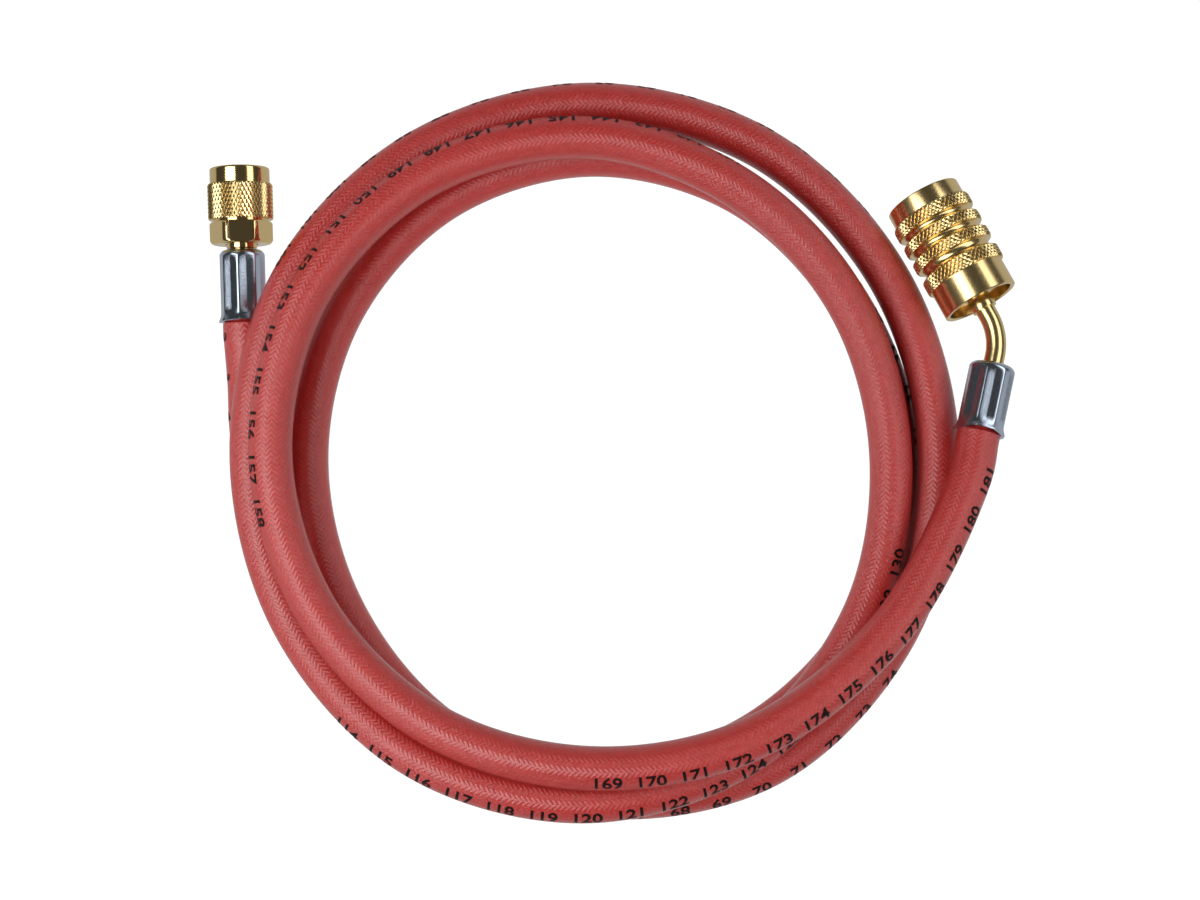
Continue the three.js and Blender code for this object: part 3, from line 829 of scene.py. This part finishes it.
def build_nut(polished, satin):
    place = to_metres(NUT_END_FRAME) @ Matrix.Translation((0, NUT_START, 0))
    corner = NUT_HEX_FLAT_RADIUS / math.cos(math.pi / 6) - NUT_HEX_BEVEL
    neck_hole = NECK_RADIUS + FIT_GAP
    knurl_start = NUT_HEX_LENGTH + NUT_GROOVE_LENGTH
    knurl_end = knurl_start + NUT_KNURL_LENGTH
    length = knurl_end + NUT_COLLAR_LENGTH
    hexagon = revolved([
        (neck_hole, 0.0),
        (NUT_HEX_FLAT_RADIUS - 0.25, 0.0),
        (NUT_HEX_FLAT_RADIUS + 0.05, 0.06),
        (corner - 0.35, 0.35),
        (corner, 0.9),
        (corner, NUT_HEX_LENGTH - 0.5),
        (corner - 0.3, NUT_HEX_LENGTH - 0.12),
        (NUT_HEX_FLAT_RADIUS - 0.2, NUT_HEX_LENGTH),
        (neck_hole, NUT_HEX_LENGTH),
    ], place, NUT_HEX_SIDES, hex_radius)
    knurl_seat = NUT_KNURL_RADIUS - NUT_KNURL_DEPTH - KNURL_SEAT
    barrel = revolved([
        *softened([
            (THREAD_CREST_RADIUS, NUT_HEX_LENGTH),
            (NUT_GROOVE_RADIUS, NUT_HEX_LENGTH),
            (NUT_GROOVE_RADIUS, knurl_start),
            (knurl_seat, knurl_start + 0.02),
            (knurl_seat, knurl_end - 0.02),
            (NUT_COLLAR_RADIUS, knurl_end),
        ], 0.04),
        *rounded_shoulder(NUT_COLLAR_RADIUS, length, NUT_COLLAR_ROUND, 8),
        (THREAD_MOUTH_RADIUS, length),
        (THREAD_CREST_RADIUS, length - THREAD_MOUTH_DEPTH),
        *threaded_wall(length - THREAD_MOUTH_DEPTH, NUT_HEX_LENGTH + NUT_THREAD_FLOOR),
    ], place, FINE_SIDES)
    knurl = knurled_ring(place, NUT_KNURL_RADIUS, knurl_start, NUT_KNURL_LENGTH,
                         NUT_KNURLS_AROUND, NUT_KNURL_ROW, NUT_KNURL_DEPTH)
    mesh = mesh_of("knurled_nut", [hexagon, barrel], [knurl])
    piece = new_object("knurled_nut", mesh, [polished, satin], "nut")
    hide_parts("swivel_nut")
    return piece


def bent_tube_line():
    """Straight out of the ferrule, round the bend and straight into the coupler's body."""
    bend = COUPLER_END_AXIS.angle(COUPLER_AXIS)
    tangent = TUBE_BEND_RADIUS * math.tan(bend / 2) * MM
    start = BEND_CORNER - COUPLER_END_AXIS * tangent
    inward = (COUPLER_AXIS - COUPLER_END_AXIS * COUPLER_AXIS.dot(COUPLER_END_AXIS)).normalized()
    centre = start + inward * TUBE_BEND_RADIUS * MM
    line = [COUPLER_END_PLACE + COUPLER_END_AXIS * (COUPLER_HOSE_DEPTH + FIT_GAP) * MM]
    for i in range(TUBE_BEND_STEPS + 1):
        angle = bend * i / TUBE_BEND_STEPS
        line.append(centre - inward * TUBE_BEND_RADIUS * MM * math.cos(angle)
                    + COUPLER_END_AXIS * TUBE_BEND_RADIUS * MM * math.sin(angle))
    line.append(SLEEVE_PLACE + COUPLER_AXIS * (BODY_REAR_START + BODY_TUBE_SOCKET - FIT_GAP) * MM)
    return line


def build_bent_tube(material):
    line = bent_tube_line()
    rings = []
    for radius in (TUBE_RADIUS, TUBE_BORE_RADIUS):
        ring_set = []
        for i, point in enumerate(line):
            before = line[max(i - 1, 0)]
            after = line[min(i + 1, len(line) - 1)]
            tangent = (after - before).normalized()
            side = tangent.cross(Vector((0, 0, 1))).normalized()
            up = side.cross(tangent)
            ring_set.append([
                point + (side * math.sin(2 * math.pi * j / TUBE_SIDES)
                         + up * math.cos(2 * math.pi * j / TUBE_SIDES)) * radius * MM
                for j in range(TUBE_SIDES)
            ])
        rings.append(ring_set)
    loop = rings[0] + rings[1][::-1]
    vertices = [vertex for ring in loop for vertex in ring]
    wall_middle = (TUBE_RADIUS + TUBE_BORE_RADIUS) / 2
    collar_end = BODY_REAR_START - FIT_GAP
    collar = revolved(softened([
        (wall_middle, -TUBE_COLLAR_REACH),
        (TUBE_COLLAR_RADIUS, -TUBE_COLLAR_REACH),
        (TUBE_COLLAR_RADIUS, collar_end),
        (wall_middle, collar_end),
    ], 0.2), to_metres(COUPLER_FRAME))
    tube = (vertices, grid_faces(len(loop), TUBE_SIDES, True))
    mesh = mesh_of("bent_brass_tube", [tube, collar])
    piece = new_object("bent_brass_tube", mesh, [material], "hose")
    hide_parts("bent_stem")
    return piece


def sleeve_outside():
    """The sleeve's outside from the rear, without the knurled rings' diamonds."""
    points = [(SLEEVE_COLLAR_RADIUS - 0.2, 0.0), (SLEEVE_COLLAR_RADIUS, 0.2)]
    points.append((SLEEVE_COLLAR_RADIUS, SLEEVE_REAR_COLLAR))
    rings = []
    along = SLEEVE_REAR_COLLAR
    seat = SLEEVE_RING_RADIUS - SLEEVE_KNURL_SEAT
    rim = SLEEVE_COLLAR_RADIUS + SLEEVE_GROOVE_RIM
    for i, ring_length in enumerate(SLEEVE_RINGS):
        rings.append((along, ring_length))
        points.append((seat, along + KNURL_SEAT))
        points.append((seat, along + ring_length - KNURL_SEAT))
        along += ring_length
        if i < len(SLEEVE_GROOVES):
            groove = SLEEVE_GROOVES[i]
            for k in range(SLEEVE_GROOVE_STEPS + 1):
                share = k / SLEEVE_GROOVE_STEPS
                sag = math.sin(math.pi * share) ** SLEEVE_GROOVE_SQUARENESS
                points.append((rim - (rim - SLEEVE_GROOVE_RADIUS) * sag, along + groove * share))
            along += groove
    points.append((SLEEVE_COLLAR_RADIUS, along))
    points += rounded_shoulder(SLEEVE_COLLAR_RADIUS, SLEEVE_LENGTH, SLEEVE_TIP_ROUND, 6)
    return points, rings


def build_sleeve(material):
    place = to_metres(COUPLER_FRAME)
    outside, rings = sleeve_outside()
    shell = revolved([
        (SLEEVE_HOLLOW_RADIUS + SLEEVE_HOLLOW_BEVEL, 0.0),
        *outside,
        (SLEEVE_BORE_RADIUS + SLEEVE_MOUTH_BEVEL, SLEEVE_LENGTH),
        (SLEEVE_BORE_RADIUS, SLEEVE_LENGTH - SLEEVE_MOUTH_BEVEL),
        (SLEEVE_BORE_RADIUS, SLEEVE_HOLLOW_DEPTH),
        (SLEEVE_HOLLOW_RADIUS, SLEEVE_HOLLOW_DEPTH),
        (SLEEVE_HOLLOW_RADIUS, SLEEVE_HOLLOW_BEVEL),
    ], place, FINE_SIDES)
    parts = [shell]
    for start, length in rings:
        parts.append(knurled_ring(place, SLEEVE_RING_RADIUS, start, length,
                                  SLEEVE_KNURLS_AROUND, SLEEVE_KNURL_ROW, SLEEVE_KNURL_DEPTH))
    mesh = mesh_of("knurled_sleeve", parts)
    piece = new_object("knurled_sleeve", mesh, [material], "sleeve")
    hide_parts("coupler_sleeve")
    return piece


def build_coupler_body(material):
    socket = TUBE_RADIUS + FIT_GAP
    body_end = SLEEVE_LENGTH - BODY_TIP_INSET
    floor = body_end - BODY_SOCKET_DEPTH
    main = SLEEVE_BORE_RADIUS - FIT_GAP
    flange_end = SLEEVE_HOLLOW_DEPTH - FIT_GAP
    profile = [
        *softened([
            (socket, BODY_REAR_START),
            (BODY_STUB_RADIUS, BODY_REAR_START),
            (BODY_STUB_RADIUS, BODY_FLANGE_START),
            (BODY_FLANGE_RADIUS, BODY_FLANGE_START),
            (BODY_FLANGE_RADIUS, flange_end),
            (main, flange_end),
            (main, body_end),
            (THREAD_MOUTH_RADIUS - FIT_GAP, body_end),
            (THREAD_CREST_RADIUS, body_end - THREAD_MOUTH_DEPTH),
        ], 0.2),
        *threaded_wall(body_end - THREAD_MOUTH_DEPTH, floor + BODY_THREAD_FLOOR),
        (THREAD_CREST_RADIUS, floor),
        (TUBE_BORE_RADIUS, floor),
        (TUBE_BORE_RADIUS, BODY_REAR_START + BODY_TUBE_SOCKET),
        (socket, BODY_REAR_START + BODY_TUBE_SOCKET),
    ]
    part = revolved(profile, to_metres(COUPLER_FRAME), BODY_SIDES)
    mesh = mesh_of("coupler_inner_body", [part])
    piece = new_object("coupler_inner_body", mesh, [material], "hose")
    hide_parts("coupler_body")
    return piece


# Surroundings

def table_sheet(name, drop, material):
    """A flat square, in rings of faces, so that its finest faces lie under the part."""
    vertices = []
    faces = []
    for i, half in enumerate(TABLE_HALF_SIZES):
        vertices += [(-half, -half, 0), (half, -half, 0), (half, half, 0), (-half, half, 0)]
        if i == 0:
            faces.append((0, 1, 2, 3))
            continue
        inner = 4 * i - 4
        outer = 4 * i
        for j in range(4):
            k = (j + 1) % 4
            faces.append((outer + j, outer + k, inner + k, inner + j))
    mesh = bpy.data.meshes.new(name)
    mesh.from_pydata(vertices, [], faces)
    mesh.materials.append(material)
    sheet = bpy.data.objects.new(name, mesh)
    bpy.context.scene.collection.objects.link(sheet)
    sheet.location.z = -drop
    return sheet


def glowing_panel(name, strength):
    """A white surface that glows, and dims further out on the table."""
    material, nodes, links, shader = new_material(name)
    shader.inputs["Base Color"].default_value = (*TABLE_GREY, 1)
    shader.inputs["Roughness"].default_value = 0.55
    shader.inputs["Specular IOR Level"].default_value = 0.2
    shader.inputs["Emission Color"].default_value = (1, 1, 1, 1)
    place = nodes.new("ShaderNodeTexCoord")
    away = nodes.new("ShaderNodeVectorMath")
    away.operation = "LENGTH"
    links.new(place.outputs["Object"], away.inputs[0])
    near = nodes.new("ShaderNodeMapRange")
    near.inputs["From Min"].default_value = PANEL_RADIUS
    near.inputs["From Max"].default_value = PANEL_FADE_RADIUS
    near.inputs["To Min"].default_value = strength
    near.inputs["To Max"].default_value = 0.0
    links.new(away.outputs["Value"], near.inputs["Value"])
    links.new(near.outputs["Result"], shader.inputs["Emission Strength"])
    return material


def build_table():
    """A white panel, and under it the dim sheet that the gloss of the part mirrors instead.

    The photograph's metal mirrors a table much dimmer than the white that the picture shows.
    """
    white = glowing_panel("white_panel", PANEL_STRENGTH)
    panel = table_sheet("white_panel", TABLE_DROP, white)
    panel.visible_glossy = False
    dim = glowing_panel("mirrored_table", MIRRORED_STRENGTH)
    table_sheet("mirrored_table", 2 * TABLE_DROP, dim)


def softbox(name, place, size, watts):
    """A level softbox that shines straight down."""
    data = bpy.data.lights.new(name, "AREA")
    data.shape = "RECTANGLE"
    data.size = size[0]
    data.size_y = size[1]
    data.energy = watts
    light = bpy.data.objects.new(name, data)
    light.location = place
    bpy.context.scene.collection.objects.link(light)


def build_lights():
    softbox("left_softbox", LEFT_SOFTBOX_PLACE, LEFT_SOFTBOX_SIZE, SOFTBOX_WATTS)
    softbox("right_softbox", RIGHT_SOFTBOX_PLACE, RIGHT_SOFTBOX_SIZE, SOFTBOX_WATTS)
    world = bpy.data.worlds.new("studio")
    world.use_nodes = True
    background = world.node_tree.nodes["Background"]
    background.inputs["Color"].default_value = (*ROOM_COLOUR, 1)
    background.inputs["Strength"].default_value = ROOM_STRENGTH
    bpy.context.scene.world = world
    bpy.context.scene.view_settings.view_transform = "Standard"


def build_camera():
    data = bpy.data.cameras.new("camera")
    data.sensor_width = SENSOR_WIDTH
    data.lens = SENSOR_WIDTH * FOCAL_PIXELS / PHOTO_WIDTH
    camera = bpy.data.objects.new("camera", data)
    camera.location = CAMERA_PLACE
    bpy.context.scene.collection.objects.link(camera)
    bpy.context.scene.camera = camera


# Everything

build_camera()
rubber = hose_material()
polished_brass = metal_material("polished_brass", BRASS_COLOUR, 0.11, 0.06)
satin_brass = metal_material("satin_brass", BRASS_COLOUR, 0.22, 0.05)
plated = metal_material("plated_steel", PLATED_COLOUR, 0.12, 0.3)
black_rubber = gasket_material()

hose, hose_line, hose_frames = build_hose(rubber)
build_print(hose_frames, print_material())
build_ferrule(
    "nut_end_crimp", "nut_end_ferrule", NUT_END_FRAME, NUT_FERRULE_LENGTH,
    STEM_WAIST_RADIUS + FIT_GAP, NUT_END_FLUTE_TURN, NUT_END_LIP_SAG, plated)
coupler_ferrule = build_ferrule(
    "coupler_end_crimp", "coupler_end_ferrule", COUPLER_END_FRAME, COUPLER_FERRULE_LENGTH,
    TUBE_RADIUS + FIT_GAP, COUPLER_END_FLUTE_TURN, COUPLER_END_LIP_SAG, plated)
build_nut_end_stem(polished_brass)
build_nut(polished_brass, satin_brass)
tube = build_bent_tube(satin_brass)
sleeve = build_sleeve(satin_brass)
inner_body = build_coupler_body(satin_brass)

for name, material in (("nut_gasket", black_rubber), ("coupler_gasket", black_rubber),
                       ("core_depressor", satin_brass)):
    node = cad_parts[name]
    node.data.materials.clear()
    node.data.materials.append(material)

build_table()
build_lights()
